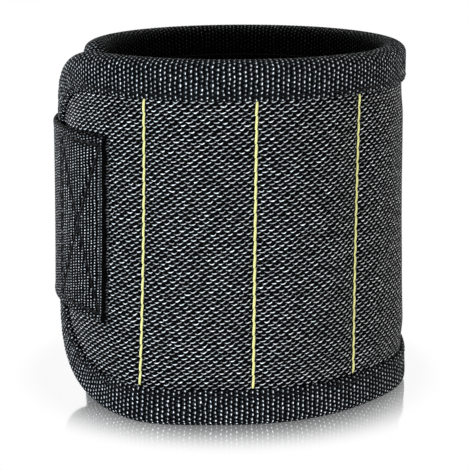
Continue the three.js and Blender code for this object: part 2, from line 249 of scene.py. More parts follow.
def half_height(length, corner, inset):
    """Half the height of an end with rounded corners, at a length from that end."""
    rounding = corner - inset
    left = max(0.0, corner - max(length, inset))
    return HALF_HEIGHT - corner + math.sqrt(max(0.0, rounding * rounding - left * left))


def depth_inside(length, height, corners):
    """Depth in from the edge of an end with rounded corners."""
    corner = corners[0] if height > 0 else corners[1]
    along = corner - length
    across = abs(height) - (HALF_HEIGHT - corner)
    if along > 0 and across > 0:
        return corner - math.hypot(along, across)
    return corner - max(along, across)


# Finishes

SMOOTH = {"interpolation_type": "SMOOTHSTEP"}
WHITE = (1, 1, 1, 1)


def to_linear(hex_colour):
    parts = [int(hex_colour[n:n + 2], 16) / 255 for n in (1, 3, 5)]
    return [c / 12.92 if c <= 0.04045 else ((c + 0.055) / 1.055) ** 2.4 for c in parts] + [1.0]


def wire(tree, made, inputs):
    """Sets a node's inputs, and links those that are given an output."""
    for name, value in inputs.items():
        if isinstance(value, bpy.types.NodeSocket):
            tree.links.new(value, made.inputs[name])
        else:
            made.inputs[name].default_value = value


def node(tree, kind, settings=None, inputs=None):
    made = tree.nodes.new("ShaderNode" + kind)
    for name, value in (settings or {}).items():
        setattr(made, name, value)
    wire(tree, made, inputs or {})
    return made


def start_finish(name):
    finish = bpy.data.materials.new(name)
    finish.use_nodes = True
    return finish, finish.node_tree, finish.node_tree.nodes["Principled BSDF"]


# Yarns wander by a distance and fray by a share of a float, in waves to a millimetre. Some floats shine less,
# at random: their painted highlight and flank are dimmer.
YARN_WANDER, YARN_WANDER_WAVES = 0.8, 0.45
YARN_FRAY, YARN_FRAY_WAVES = 0.4, 2.6
FRAY_LOW, FRAY_HIGH = 0.3, 0.7
DULL_FLOAT, BRIGHT_FLOAT = 0.45, 1.05
# Where a float's flank, core and rise begin and are full, and a link's body, with 1 at the oval of each.
FLANK_FROM, FLANK_FULL = 2.6, 0.9
CORE_FROM, CORE_FULL = 1.45, 0.4
RISE_FROM, RISE_FULL = 2.4, 0.0
LINK_FROM, LINK_FULL, LINK_SHIFT = 1.5, 0.4, 0.13
GAP_ROUGHNESS = 0.8


def cloth_place(tree, shift):
    """A place on the cloth in millimetres, with the yarns' wandering, and how much shade is painted there,
    where the cloth is sunk.
    """
    laid = node(tree, "Attribute", {"attribute_name": "cloth_mm"}).outputs["Vector"]
    painted_shade = node(tree, "SeparateXYZ", None, {0: laid}).outputs[2]
    drift = node(tree, "TexNoise", None,
                 {"Vector": laid, "Scale": YARN_WANDER_WAVES, "Detail": 1.0}).outputs["Color"]
    centred = node(tree, "VectorMath", {"operation": "SUBTRACT"}, {0: drift, 1: (0.5, 0.5, 0.5)}).outputs[0]
    wander = node(tree, "VectorMath", {"operation": "SCALE"}, {0: centred, "Scale": YARN_WANDER}).outputs[0]
    drifted = node(tree, "VectorMath", {"operation": "ADD"}, {0: laid, 1: wander}).outputs[0]
    cloth = node(tree, "VectorMath", {"operation": "ADD"}, {0: drifted, 1: (shift, 0, 0)}).outputs[0]
    return cloth, painted_shade


def nearest_float(tree, cloth, one, other):
    """The way from the middle of the nearest float, and that float's count along each of the two steps."""
    size = one[0] * other[1] - one[1] * other[0]
    counts, middle = [], (0, 0, 0)
    for step, across in ((one, (other[1], -other[0])), (other, (-one[1], one[0]))):
        way = (across[0] / size, across[1] / size, 0)
        gone = node(tree, "VectorMath", {"operation": "DOT_PRODUCT"}, {0: cloth, 1: way}).outputs["Value"]
        count = node(tree, "Math", {"operation": "ROUND"}, {0: gone}).outputs[0]
        leap = node(tree, "VectorMath", {"operation": "SCALE"}, {0: (*step, 0), "Scale": count}).outputs[0]
        middle = node(tree, "VectorMath", {"operation": "ADD"}, {0: leap, 1: middle}).outputs[0]
        counts.append(count)
    off = node(tree, "VectorMath", {"operation": "SUBTRACT"}, {0: cloth, 1: middle}).outputs[0]
    return off, node(tree, "CombineXYZ", None, {0: counts[0], 1: counts[1]}).outputs[0]


def oval_distance(tree, off, oval):
    """Distance from a float's middle, with 1 at its oval. An oval has half its width, half its height, a
    slope and a bow, by which its middle sags."""
    width, height, slope, bow = oval
    x, y, _ = node(tree, "SeparateXYZ", None, {0: off}).outputs
    sag = -bow * width ** 2
    bent = node(tree, "Math", {"operation": "MULTIPLY_ADD"}, {0: x, 1: bow, 2: slope}).outputs[0]
    curve = node(tree, "Math", {"operation": "MULTIPLY_ADD"}, {0: x, 1: bent, 2: sag}).outputs[0]
    along = node(tree, "Math", {"operation": "DIVIDE"}, {0: x, 1: width}).outputs[0]
    above = node(tree, "Math", {"operation": "SUBTRACT"}, {0: y, 1: curve}).outputs[0]
    up = node(tree, "Math", {"operation": "DIVIDE"}, {0: above, 1: height}).outputs[0]
    spot = node(tree, "CombineXYZ", None, {0: along, 1: up}).outputs[0]
    return node(tree, "VectorMath", {"operation": "LENGTH"}, {0: spot}).outputs["Value"]


def weave_floats(tree, steps, oval, shift=0.0):
    """Floats of yarn with frayed edges, as ovals that repeat by two steps in millimetres and may be shifted
    along the cloth. It gives the distance from the nearest float's middle, the shade painted where the cloth
    is sunk, and how brightly that float shines, which scales its painted highlight."""
    cloth, painted_shade = cloth_place(tree, shift)
    off, counts = nearest_float(tree, cloth, *steps)
    smooth = oval_distance(tree, off, oval)
    fibre = node(tree, "TexNoise", None,
                 {"Vector": cloth, "Scale": YARN_FRAY_WAVES, "Detail": 1.0}).outputs[0]
    frayed = node(tree, "MapRange", None,
                  {"Value": fibre, "From Min": FRAY_LOW, "From Max": FRAY_HIGH,
                   "To Min": -YARN_FRAY, "To Max": YARN_FRAY}).outputs[0]
    away = node(tree, "Math", {"operation": "ADD"}, {0: smooth, 1: frayed}).outputs[0]
    chance = node(tree, "TexWhiteNoise", {"noise_dimensions": "2D"}, {"Vector": counts}).outputs["Value"]
    shine = node(tree, "MapRange", None,
                 {"Value": chance, "To Min": DULL_FLOAT, "To Max": BRIGHT_FLOAT}).outputs[0]
    return away, painted_shade, shine


def woven_finish(name, steps, oval, link, colours, polish, relief):
    """Yarn in a weave. Its floats have a core and flanks, and dive into gaps between them, where a link of
    yarn, with an oval of its own, may join them. The colours are those of gap, flank and core. On the shiny
    yarns the bright core is a painted highlight and the black gap is painted shade. Where the cloth is sunk,
    at a seam or a fold, painted shade leaves only the colour of the gaps."""
    finish, tree, surface = start_finish(name)
    gap, flank, core = (to_linear(colour) for colour in colours)
    away, painted_shade, shine = weave_floats(tree, steps, oval)
    flanks = node(tree, "MapRange", SMOOTH,
                  {"Value": away, "From Min": FLANK_FROM, "From Max": FLANK_FULL}).outputs[0]
    if link:
        body, _, _ = weave_floats(tree, steps, link, LINK_SHIFT)
        linked = node(tree, "MapRange", SMOOTH,
                      {"Value": body, "From Min": LINK_FROM, "From Max": LINK_FULL}).outputs[0]
        flanks = node(tree, "Math", {"operation": "MAXIMUM"}, {0: flanks, 1: linked}).outputs[0]
    cores = node(tree, "MapRange", SMOOTH,
                 {"Value": away, "From Min": CORE_FROM, "From Max": CORE_FULL}).outputs[0]
    in_open = node(tree, "MapRange", None, {"Value": painted_shade, "To Min": 1.0, "To Max": 0.0}).outputs[0]
    seen = node(tree, "Math", {"operation": "MULTIPLY"}, {0: shine, 1: in_open}).outputs[0]
    flanks_seen = node(tree, "Math", {"operation": "MULTIPLY"}, {0: flanks, 1: seen}).outputs[0]
    cores_seen = node(tree, "Math", {"operation": "MULTIPLY", "use_clamp": True},
                      {0: cores, 1: seen}).outputs[0]
    # Over the gap colour go the flank and the core, a painted highlight on shiny yarn, each dimmed by the
    # float's shine and by the painted shade.
    dark = node(tree, "Mix", {"data_type": "RGBA"}, {0: flanks_seen, 6: gap, 7: flank}).outputs[2]
    colour = node(tree, "Mix", {"data_type": "RGBA"}, {0: cores_seen, 6: dark, 7: core}).outputs[2]
    gloss = node(tree, "MapRange", None,
                 {"Value": cores, "To Min": GAP_ROUGHNESS, "To Max": polish}).outputs[0]
    rise = node(tree, "MapRange", SMOOTH,
                {"Value": away, "From Min": RISE_FROM, "From Max": RISE_FULL}).outputs[0]
    bump = node(tree, "Bump", None, {"Strength": 1.0, "Distance": relief * MM, "Height": rise}).outputs[0]
    wire(tree, surface, {"Base Color": colour, "Roughness": gloss, "Normal": bump,
                         "Specular IOR Level": 0.02, "IOR": 1.53})
    return finish


# Ballistic nylon, woven from thick shiny yarn: painted highlights as bright crescents round small black
# hollows of painted shade, in slanting rows.
BALLISTIC_NYLON = woven_finish(
    "woven_ballistic_nylon", steps=((2.008, 0.014), (1.138, 0.797)), oval=(0.54, 0.108, 0.25, 0.55),
    link=None, colours=("#000000", "#121416", "#fcfdfd"), polish=0.42, relief=0.08)
# Polypropylene binding tape: ribs across the tape, each a column of small upright floats on grey yarn,
# with a painted highlight at each float's core and painted shade in the black gaps.
BINDING_TAPE = woven_finish(
    "woven_polypropylene_tape", steps=((RIB_PITCH, TAPE_PICK), (RIB_PITCH, -TAPE_PICK)),
    oval=(0.12, 0.24, 0.3, 0.0), link=(0.42, 0.36, 0.0, 0.0),
    colours=("#000000", "#2c3032", "#f6f9fa"), polish=0.5, relief=0.08)
# Polyester webbing: a close, fine weave in upright ribs, with less gloss than the shell. Its bright cores
# are painted highlights and its black gaps are painted shade.
STRAP_WEBBING = woven_finish(
    "woven_polyester_webbing", steps=((STRAP_RIB, STRAP_PICK), (STRAP_RIB, -STRAP_PICK)),
    oval=(0.21, 0.125, 0.2, 0.0), link=None,
    colours=("#000000", "#14181a", "#f6f9fa"), polish=0.6, relief=0.06)
# Polyester spacer mesh: a soft black knit, with rows of small round holes in place of floats.
SPACER_MESH = woven_finish(
    "knitted_spacer_mesh", steps=((1.2, 1.0), (1.2, -1.0)), oval=(0.42, 0.42, 0.0, 0.0), link=None,
    colours=("#363639", "#101012", "#010101"), polish=0.8, relief=-0.15)
# Nylon loop pile: matt black fibre that scatters all light.
LOOP_FIBRE = woven_finish(
    "brushed_nylon_loop", steps=((0.8, 0.7), (0.8, -0.7)), oval=(0.3, 0.3, 0.4, 0.0), link=None,
    colours=("#060607", "#1b1b1d", "#303134"), polish=0.95, relief=0.15)
# Nylon hook tape: close rows of small black hooks, each with a dull glint painted into its colour.
HOOK_FIBRE = woven_finish(
    "moulded_nylon_hook", steps=((1.1, 1.1), (1.1, -1.1)), oval=(0.4, 0.4, 0.0, 0.0), link=None,
    colours=("#060607", "#161618", "#36373a"), polish=0.5, relief=0.25)

# How far the plies of a thread stand out.
PLY_RELIEF = 0.06


def thread_finish(name, light, dark, twist):
    """Twisted polyester thread: two plies wind round each other, so slanting lines cross the stitch. The
    lighter colour on each ply's crest is a painted highlight.
    """
    finish, tree, surface = start_finish(name)
    cloth = node(tree, "Attribute", {"attribute_name": "cloth_mm"}).outputs["Vector"]
    along, across, _ = node(tree, "SeparateXYZ", None, {0: cloth}).outputs
    slant = node(tree, "Math", {"operation": "ADD"}, {0: along, 1: across}).outputs[0]
    turn = node(tree, "Math", {"operation": "MULTIPLY"}, {0: slant, 1: 2 * math.pi / twist}).outputs[0]
    wave = node(tree, "Math", {"operation": "SINE"}, {0: turn}).outputs[0]
    ply = node(tree, "MapRange", None, {"Value": wave, "From Min": -1.0, "From Max": 1.0}).outputs[0]
    colour = node(tree, "Mix", {"data_type": "RGBA"},
                  {0: ply, 6: to_linear(dark), 7: to_linear(light)}).outputs[2]
    bump = node(tree, "Bump", None, {"Strength": 0.8, "Distance": PLY_RELIEF * MM, "Height": ply}).outputs[0]
    wire(tree, surface, {"Base Color": colour, "Normal": bump, "Roughness": 0.55,
                         "Specular IOR Level": 0.05, "IOR": 1.55})
    return finish


# The first colour of each thread is the painted highlight on its plies' crests.
SEAM_THREAD = thread_finish("twisted_polyester_thread_yellow", "#eeebab", "#d1cb70", twist=0.7)
BLACK_THREAD = thread_finish("twisted_polyester_thread_black", "#0c0c0d", "#030304", twist=0.6)

# Waves in the polish, to a millimetre.
PLATING_WAVES = 0.9


def nickel_finish():
    """Nickel plating on a sintered magnet: bright, with a fine drift in its polish."""
    finish, tree, surface = start_finish("plated_nickel")
    place = node(tree, "TexCoord").outputs["Object"]
    cloud = node(tree, "TexNoise", None,
                 {"Vector": place, "Scale": PLATING_WAVES / MM, "Detail": 3.0}).outputs[0]
    colour = node(tree, "Mix", {"data_type": "RGBA"},
                  {0: cloud, 6: to_linear("#b4b5b6"), 7: to_linear("#cfcfce")}).outputs[2]
    polish = node(tree, "MapRange", None, {"Value": cloud, "To Min": 0.2, "To Max": 0.34}).outputs[0]
    wire(tree, surface, {"Base Color": colour, "Roughness": polish, "Metallic": 1.0})
    return finish


NICKEL_PLATE = nickel_finish()


# Making pieces

# A bend sharper than this shows as an edge.
SHARP_EDGE = 55


def loft(name, rings, finish):
    """A closed piece through a row of rings. Each ring holds places with their millimetres on the cloth and
    the shade painted there.
    """
    count = len(rings[0])
    points = [place for ring in rings for place, _ in ring]
    cloth = [value for ring in rings for _, on_cloth in ring for value in on_cloth]
    faces = [list(range(count)), [len(points) - count + n for n in range(count)]]
    for row in range(0, len(points) - count, count):
        for n in range(count):
            a, b = row + n, row + (n + 1) % count
            faces.append([a, b, b + count, a + count])
    return add_piece(name, points, faces, cloth, finish)


def add_piece(name, points, faces, cloth, finish):
    mesh = bpy.data.meshes.new(name)
    mesh.from_pydata(points, [], faces)
    on_cloth = mesh.attributes.new("cloth_mm", "FLOAT_VECTOR", "POINT")
    on_cloth.data.foreach_set("vector", cloth)
    turn_faces_out(mesh)
    mesh.polygons.foreach_set("use_smooth", [True] * len(mesh.polygons))
    mesh.set_sharp_from_angle(angle=math.radians(SHARP_EDGE))
    mesh.materials.append(finish)
    piece = bpy.data.objects.new(name, mesh)
    bpy.context.scene.collection.objects.link(piece)
    return piece


def turn_faces_out(mesh):
    work = bmesh.new()
    work.from_mesh(mesh)
    bmesh.ops.recalc_face_normals(work, faces=work.faces)
    work.to_mesh(mesh)
    work.free()


def bend_with(piece, stretch):
    """Bakes the piece's transform into its mesh. The middles of the links at each end of its stretch are
    found, but nothing uses them.
    """
    start = on_band(LINK_MIDDLES[stretch], 0, HALF_HEIGHT)
    end = on_band(LINK_MIDDLES[stretch + 1], 0, HALF_HEIGHT)
    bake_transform(piece)


# The quilted shell and lining

def swell(angle, height, stretch):
    """How full a panel is, from 0 at its tape and seams to 1 in its middle, and how far off these are."""
    to_tape = HALF_HEIGHT - abs(height) - TAPE_WIDTH
    if stretch in CORNERS:
        to_tape = depth_inside(length_at(angle, stretch), height, CORNERS[stretch]) - TAPE_WIDTH
    to_seam = math.radians(min(abs(angle - seam) for seam in SEAMS)) * LOOP_RADIUS
    return ease(to_tape / CROWN_RUN) * ease(to_seam / CROWN_RUN), to_seam, to_tape


def shell_offset(angle, height, stretch):
    full, to_seam, to_tape = swell(angle, height, stretch)
    crown = POCKET_CROWN if angle < TAIL_SEAM else TAIL_CROWN
    drape = DRAPE * noise.noise(Vector((angle * DRAPE_ROUND, height * DRAPE_UP, DRAPE_SEED)))
    draw = dip(to_seam, SEAM_DIP, DIP_RUN)
    pull = dip(to_seam, PUCKER, PUCKER_RUN) * math.cos(2 * math.pi * height / STITCH_PITCH)
    loose = (drape + pull) * ease(to_tape / TAPE_HOLD)
    return SHELL_FACE + crown * full + loose - draw * ease(to_tape + DIP_UNDER_TAPE)


def lining_offset(angle, height, stretch):
    full, to_seam, to_tape = swell(angle, height, stretch)
    draw = dip(to_seam, LINING_DIP, DIP_RUN)
    return -(LINING_FACE + LINING_CROWN * full - draw * ease(to_tape / TAPE_HOLD))


def panel_angles(stretch):
    """Columns of a stretch: close together at the seam and round the corners of an end."""
    start, end = STRETCHES[stretch]
    angles = spread(start, end, COLUMN_STEP)
    for seam in SEAMS:
        angles += [seam + side * gap for side in (-1, 1) for gap in SEAM_COLUMNS]
    if stretch in CORNERS:
        for corner in set(CORNERS[stretch]):
            bent = [1 - math.cos(math.radians(turn)) for turn in spread(0, 90, CORNER_STEP)]
            angles += [angle_at(LAYER_INSET + (corner - LAYER_INSET) * part, stretch) for part in bent]
        edge = angle_at(LAYER_INSET, stretch)
        start, end = (edge, end) if stretch == 0 else (start, edge)
    kept = [start]
    for angle in sorted(a for a in angles if start < a < end):
        if angle - kept[-1] > LEAST_STEP and end - angle > LEAST_STEP:
            kept.append(angle)
    return kept + [end]


def panel_layer(name, stretch, face, back, rows, finish):
    """The shell or the lining of a stretch. Its face is quilted, and its back is plain and hidden."""
    rings = []
    for angle in panel_angles(stretch):
        upper = lower = HALF_HEIGHT - LAYER_INSET
        if stretch in CORNERS:
            length = length_at(angle, stretch)
            upper, lower = (half_height(length, corner, LAYER_INSET) for corner in CORNERS[stretch])
        along = math.radians(angle - OUTER_END) * LOOP_RADIUS
        ring = []
        for height in evenly(-lower, 0, rows) + evenly(0, upper, rows)[1:]:
            _, to_seam, to_tape = swell(angle, height, stretch)
            # Painted shade in the dip of a seam and along the edge of the tape.
            painted_shade = max(dip(to_seam, SEAM_SHADE, SEAM_SHADE_RUN), fade(to_tape, *TAPE_SHADE))
            place = on_band(angle, face(angle, height, stretch), HALF_HEIGHT + height)
            ring.append((place, (along, height, painted_shade)))
        # The back, hidden inside the tape, takes full painted shade.
        for height in evenly(upper, -lower, BACK_ROWS):
            ring.append((on_band(angle, back, HALF_HEIGHT + height), (along, height, HIDDEN)))
        rings.append(ring)
    piece = loft(name, rings, finish)
    bend_with(piece, stretch)
    return piece


for stretch in range(len(STRETCHES)):
    links = LINKS[stretch:stretch + 1] if stretch < LAST else LINKS[stretch:]
    shell = panel_layer(f"quilted_shell_{stretch + 1}", stretch, shell_offset, SHELL_BACK, SHELL_ROWS,
                        BALLISTIC_NYLON)
    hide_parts(*[f"{link}_shell" for link in links])
    lining = panel_layer(f"padded_lining_{stretch + 1}", stretch, lining_offset, -LINING_BACK, LINING_ROWS,
                         SPACER_MESH)
    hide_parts(*[f"{link}_lining" for link in links])


# The binding tape

def tape_offset(depth):
    """Distance of the tape's face from the middle of the band, at a depth in from the edge."""
    fold = TAPE_FACE * (1 - max(0.0, 1 - depth / TAPE_FOLD) ** 2) ** FOLD_ROUNDNESS
    sewn = dip(depth - TAPE_STITCH, TAPE_STITCH_DIP, TAPE_STITCH_RUN)
    lip = TAPE_LIP * ease((depth - TAPE_WIDTH + TAPE_LIP_RUN) / TAPE_LIP_RUN)
    return fold - sewn - lip


def tape_section():
    """The folded section: outer leg, fold and inner leg, then back inside. Each point has its offset,
    depth, place round the section and share of the ribs."""
    leg = [(FOLD_FLAT, 0.0)] + [(tape_offset(depth), depth) for depth in TAPE_DEPTHS[1:]]
    outline = leg[::-1] + [(-offset, depth) for offset, depth in leg]
    round_it, section = 0.0, []
    for n, (offset, depth) in enumerate(outline):
        if n:
            round_it += math.dist(outline[n - 1], outline[n])
        section.append((offset, depth, round_it, 1.0))
    inside = [(offset, depth, 0.0, 0.0) for offset, depth in TAPE_INSIDE[::-1]]
    return section + inside


TAPE_SECTION = tape_section()


def tape_ring(station, stretch):
    """One section of tape. A station has a length, a height, the way into the band, a run along the tape and
    its share of the gathers at a corner."""
    length, height, in_length, in_height, run, bend = station
    rib = RIB_DEPTH * rib_groove(run, RIB_PITCH)
    gathers = bend * GATHER * math.sin(2 * math.pi * run / GATHER_PITCH)
    drift = TAPE_WANDER * noise.noise(Vector((run * TAPE_WANDER_WAVES, height, TAPE_WANDER_SEED)))
    ring = []
    for offset, depth, round_it, ribbed in TAPE_SECTION:
        groove = rib * ribbed
        side = math.copysign(min(1.0, abs(offset) / LEG_OFFSET), offset)
        gather = gathers * ease(depth / TAPE_WIDTH) * ribbed
        shift = offset - side * groove + side * gather
        inset = depth + groove * (1 - abs(side)) + drift * ease(depth / TAPE_WANDER_RUN)
        angle = angle_at(length + in_length * inset, stretch)
        place = on_band(angle, shift, HALF_HEIGHT + height + in_height * inset)
        # Painted shade on the inner leg of the tape, from just past the fold, where the band's own wall
        # shades it.
        inside = INSIDE_SHADE * ease((depth - INSIDE_SHADE_START) / INSIDE_SHADE_RUN)
        ring.append((place, (run, round_it, inside if offset < 0 else OPEN)))
    return ring


def straight_run(start, end, side):
    return [(length, side * HALF_HEIGHT, 0.0, -side, length, 0.0) for length in spread(start, end, RIB_STEP)]


def half_end_run(reach, corner, side, first_rib):
    """From the straight edge, round one corner to the middle of the end. The ribs meet at the middle."""
    arc = math.pi / 2 * corner
    whole = arc + HALF_HEIGHT - corner
    rib = first_rib - reach + corner
    middle_rib = 2 * RIB_PITCH * round((rib - whole) / (2 * RIB_PITCH))
    tighter = (rib - middle_rib) / whole
    run = [(length, side * HALF_HEIGHT, 0.0, -side, first_rib - reach + length, 0.0)
           for length in spread(reach, corner, RIB_STEP)]
    for length in spread(0, arc, RIB_STEP)[1:]:
        turn = length / corner
        across, up = math.sin(turn), math.cos(turn)
        height = side * (HALF_HEIGHT - corner + corner * up)
        run.append((corner - corner * across, height, across, -side * up,
                    rib - tighter * length, math.sin(2 * turn)))
    for length in spread(arc, whole, RIB_STEP)[1:]:
        run.append((0.0, side * (whole - length), 1.0, 0.0, rib - tighter * length, 0.0))
    return run


def end_run(reach, corners, first_rib):
    """Along the upper edge, round the end and back along the lower edge."""
    upper = half_end_run(reach, corners[0], 1, first_rib)
    lower = half_end_run(reach, corners[1], -1, first_rib)
    return upper + lower[-2::-1]


BOUND_EDGES = []


def bind_edge(name, stations, stretch, *nodes):
    BOUND_EDGES.append((name, stations, stretch))
    piece = loft(name, [tape_ring(station, stretch) for station in stations], BINDING_TAPE)
    bend_with(piece, stretch)
    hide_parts(*nodes)


reach = length_at(STRETCHES[0][1], 0)
bind_edge("binding_outer_end", end_run(reach, CORNERS[0], reach), 0, "outer_end_binding")
for stretch in range(1, LAST):
    start, end = (length_at(angle, stretch) for angle in STRETCHES[stretch])
    for side, edge in ((1, "top"), (-1, "bottom")):
        bind_edge(f"binding_{edge}_{stretch + 1}", straight_run(start, end, side), stretch,
                  f"{LINKS[stretch]}_binding_{edge}")
reach = length_at(STRETCHES[LAST][0], LAST)
bind_edge("binding_inner_end", end_run(reach, CORNERS[LAST], length_at(STRETCHES[LAST][0], 0)), LAST,
          "inner_end_binding", "tail_binding_top", "tail_binding_bottom")


# Stitches

def stitch(points, cloth, faces, start, end, up, width, rise):
    """Adds one stitch, a short flattened thread whose ends dive into the cloth."""
    along = end - start
    side = along.cross(up).normalized()
    first = len(points)
    for ring in range(STITCH_RINGS):
        t = ring / (STITCH_RINGS - 1)
        arch = math.sin(math.pi * t) ** 0.5
        thick = STITCH_END + (1 - STITCH_END) * arch
        centre = start + along * t + up * (rise * (arch - STITCH_SINK))
        for n in range(STITCH_SIDES):
            turn = 2 * math.pi * n / STITCH_SIDES
            round_it = side * (math.cos(turn) * width / 2 * thick)
            round_it += up * (math.sin(turn) * width * STITCH_HALF_DEPTH * thick)
            points.append(centre + round_it)
            cloth.extend((along.length / MM * t, width / MM * turn / 2, OPEN))
    faces.append([first + n for n in range(STITCH_SIDES)])
    faces.append([first + (STITCH_RINGS - 1) * STITCH_SIDES + n for n in range(STITCH_SIDES)])
    for ring in range(STITCH_RINGS - 1):
        for n in range(STITCH_SIDES):
            a = first + ring * STITCH_SIDES + n
            b = first + ring * STITCH_SIDES + (n + 1) % STITCH_SIDES
            faces.append([a, b, b + STITCH_SIDES, a + STITCH_SIDES])


def stitch_row(name, path, width, rise, lean, finish, slot):
    """A row of stitches through places on the cloth, each with the way out of the cloth."""
    points, cloth, faces = [], [], []
    for (start, up), (end, _) in zip(path, path[1:]):
        side = (end - start).cross(up).normalized() * (lean * MM)
        stitch(points, cloth, faces, start - side, end + side, up, width * MM, rise * MM)
    return add_piece(name, points, faces, cloth, finish)


def sew_seam(number, seam):
    """The yellow stitches between the edge tapes, in the dip of a seam."""
    half = HALF_HEIGHT - TAPE_WIDTH - SEAM_END_GAP
    heights = evenly(-half, half, round(2 * half / STITCH_PITCH))
    bed = SHELL_FACE - SEAM_DIP + SEAM_STITCH_BED
    path = [(on_band(seam, bed, HALF_HEIGHT + height), outward(seam)) for height in heights]
    row = stitch_row(f"seam_stitches_{number + 1}", path, *SEAM_STITCHES, SEAM_THREAD, "seam_thread")
    bend_with(row, number)
    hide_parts(f"seam_thread_{number + 1}")


def sew_tape(name, stations, stretch, side):
    """The row of black stitches that holds one leg of the tape, outside or inside the band."""
    last = len(stations) - 1
    count = max(1, round(last / STATIONS_IN_STITCH))
    bed = side * (tape_offset(TAPE_STITCH) + TAPE_STITCH_BED)
    path = []
    for n in range(count + 1):
        length, height, in_length, in_height, _, _ = stations[round(last * n / count)]
        angle = angle_at(length + in_length * TAPE_STITCH, stretch)
        place = on_band(angle, bed, HALF_HEIGHT + height + in_height * TAPE_STITCH)
        path.append((place, side * outward(angle)))
    row = stitch_row(name, path, *TAPE_STITCHES, BLACK_THREAD, "edge_tape")
    bend_with(row, stretch)


for number, seam in enumerate(SEAMS):
    sew_seam(number, seam)
for name, stations, stretch in BOUND_EDGES:
    sew_tape(f"{name}_stitches_outside", stations, stretch, 1)
    sew_tape(f"{name}_stitches_inside", stations, stretch, -1)


# The strap

def strap_radius(angle):
    landed = ease((STRAP_BEND - angle) / (STRAP_BEND - STRAP_LANDING))
    over_panel = LOOP_RADIUS + STRAP_OVER_PANEL
    over_hook = loop_radius(angle + FULL_TURN) + STRAP_OVER_HOOK
    return over_panel + (over_hook - over_panel) * landed


def strap_run(angle):
    return math.radians(angle - STRAP_TIP) * STRAP_RADIUS


def strap_flat(angle, height):
    return Vector((strap_run(angle), height))


def strap_half(angle):
    """Half the strap's width, with its tip rounded."""
    length = math.radians(angle - STRAP_TIP) * LOOP_RADIUS
    left = max(0.0, TIP_CORNER - length)
    return STRAP_WIDTH / 2 - TIP_CORNER + math.sqrt(max(0.0, TIP_CORNER ** 2 - left ** 2))


def strap_place(angle):
    return round_axis(strap_radius(angle), angle, STRAP_MIDDLE)


# The sewn box and the cross in it.
BOX_HALF = STRAP_WIDTH / 2 - BOX_MARGIN
BOX_CORNERS = [(BOX_FROM, -BOX_HALF), (BOX_TO, -BOX_HALF), (BOX_TO, BOX_HALF), (BOX_FROM, BOX_HALF)]
BOX_LINES = list(zip(BOX_CORNERS, BOX_CORNERS[1:] + BOX_CORNERS[:1]))
BOX_LINES += [(BOX_CORNERS[0], BOX_CORNERS[2]), (BOX_CORNERS[1], BOX_CORNERS[3])]


def to_box_line(angle, height):
    """How far a place on the strap is from the nearest line of the box."""
    place, gaps = strap_flat(angle, height), []
    for start, end in BOX_LINES:
        first = strap_flat(*start)
        line = strap_flat(*end) - first
        share = min(1.0, max(0.0, (place - first).dot(line) / line.length_squared))
        gaps.append((place - first - line * share).length)
    return min(gaps)


def to_strap_edges(angle, height, half):
    """How far a place on the strap is from its selvage and from its sewn end."""
    return half - abs(height), math.radians(STRAP_START - angle) * STRAP_RADIUS


def strap_face(angle, height, half):
    """Height of the strap's face over its back: ribs, worn selvages, a hem and the sewn box."""
    to_edge, to_end = to_strap_edges(angle, height, half)
    rib = STRAP_RIB_DEPTH * rib_groove(strap_run(angle), STRAP_RIB)
    edge = fade(to_edge, *SELVAGE_WEAR) - dip(to_edge - SELVAGE_CORD_AT, SELVAGE_CORD, SELVAGE_CORD_RUN)
    hem = fade(to_end, *HEM_RISE) - fade(to_end, *HEM_ROLL)
    return STRAP_THICKNESS - rib - edge + hem - dip(to_box_line(angle, height), BOX_DIP, BOX_DIP_RUN)


def strap_painted_shade(angle, height, half):
    """Painted shade on the strap: in the grooves of the stitch lines, on the turned-in end and along the
    selvages.
    """
    to_edge, to_end = to_strap_edges(angle, height, half)
    sewn = dip(to_box_line(angle, height), BOX_SHADE, BOX_SHADE_RUN)
    return max(sewn, sum(fade(to_end, *shade) for shade in HEM_SHADES), fade(to_edge, *SELVAGE_SHADE))


def strap_piece(name, start, end, rows):
    """A part of the strap between two angles, with its face shaped and its back plain."""
    rings = []
    for angle in spread(start, end, STRAP_STEP):
        half, run, inner = strap_half(angle), strap_run(angle), strap_radius(angle)
        upper = [half - gap for gap in SELVAGE_ROWS[::-1]]
        lower = [-half + gap for gap in SELVAGE_ROWS]
        ring = []
        for height in lower + evenly(SELVAGE_END - half, half - SELVAGE_END, rows) + upper:
            face = inner + strap_face(angle, height, half)
            painted_shade = strap_painted_shade(angle, height, half)
            ring.append((round_axis(face, angle, STRAP_MIDDLE + height), (run, height, painted_shade)))
        # The strap's back takes a little painted shade.
        for height in evenly(half, -half, STRAP_BACK_ROWS):
            place = round_axis(inner, angle, STRAP_MIDDLE + height)
            ring.append((place, (run, height, STRAP_BACK_SHADE)))
        rings.append(ring)
    return loft(name, rings, STRAP_WEBBING)


sewn_end = strap_piece("strap_sewn_end", STRAP_SEWN_FROM, STRAP_START, SEWN_ROWS)
bend_with(sewn_end, 0)
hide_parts("strap_anchor")
bridge = strap_piece("strap_bridge_over_step", STRAP_BEND_TO, STRAP_SEWN_FROM, FREE_ROWS)
strap_place(STRAP_BEND_TO)
strap_place(STRAP_SEWN_FROM)
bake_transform(bridge)
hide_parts("strap_bridge")
pull_tip = strap_piece("strap_pull_tip", STRAP_TIP + TIP_TRIM, STRAP_BEND_TO, FREE_ROWS)
PEEL = {"start": strap_place(STRAP_FOLD), "end": strap_place(PEEL_END)}
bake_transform(pull_tip)
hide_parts("strap_tip")


